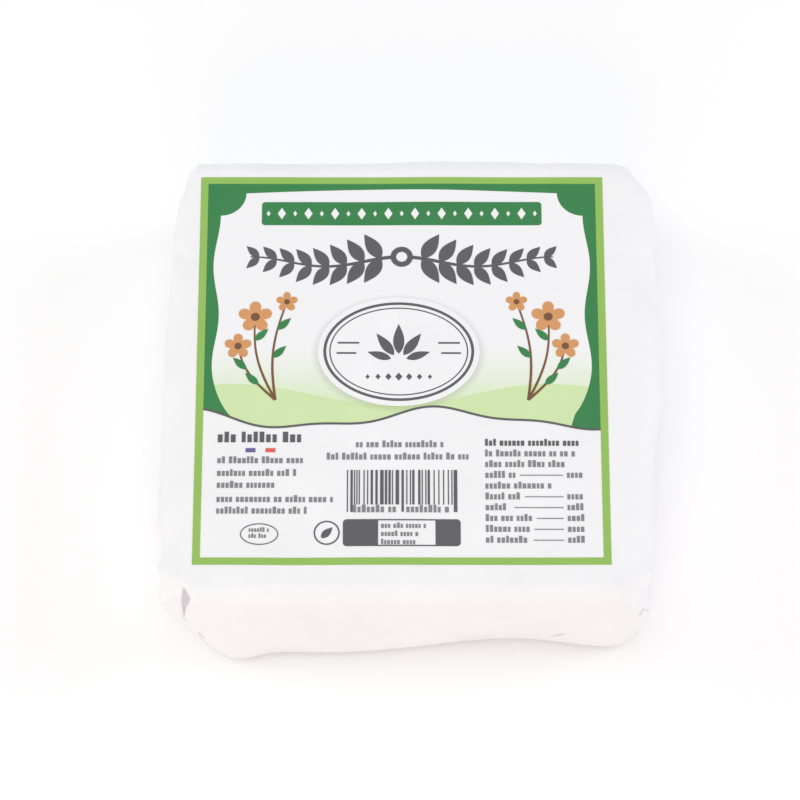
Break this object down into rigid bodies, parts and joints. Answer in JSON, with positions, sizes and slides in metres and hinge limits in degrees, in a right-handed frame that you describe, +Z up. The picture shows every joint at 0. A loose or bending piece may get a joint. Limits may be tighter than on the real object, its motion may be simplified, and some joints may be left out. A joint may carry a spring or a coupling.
{
  "type": "wrapped goat cheese block",
  "caption": "Square block of soft goat cheese shut in a folded white paper wrapper, with a green-framed printed label on its top face.",
  "frame": {"origin": "centre of the bounding box in plan, on the flat underside", "axes": "+Z up through the label, front edge of the label towards -Y, folded ends towards -X and +X"},
  "size_m": [0.1024, 0.1022, 0.0283],
  "materials": {
    "wrapper_paper": "satin",
    "label_print": "satin"
  },
  "bodies": {
    "root": {"wrapped_block": "wrapper_paper"}
  },
  "joints": []
}
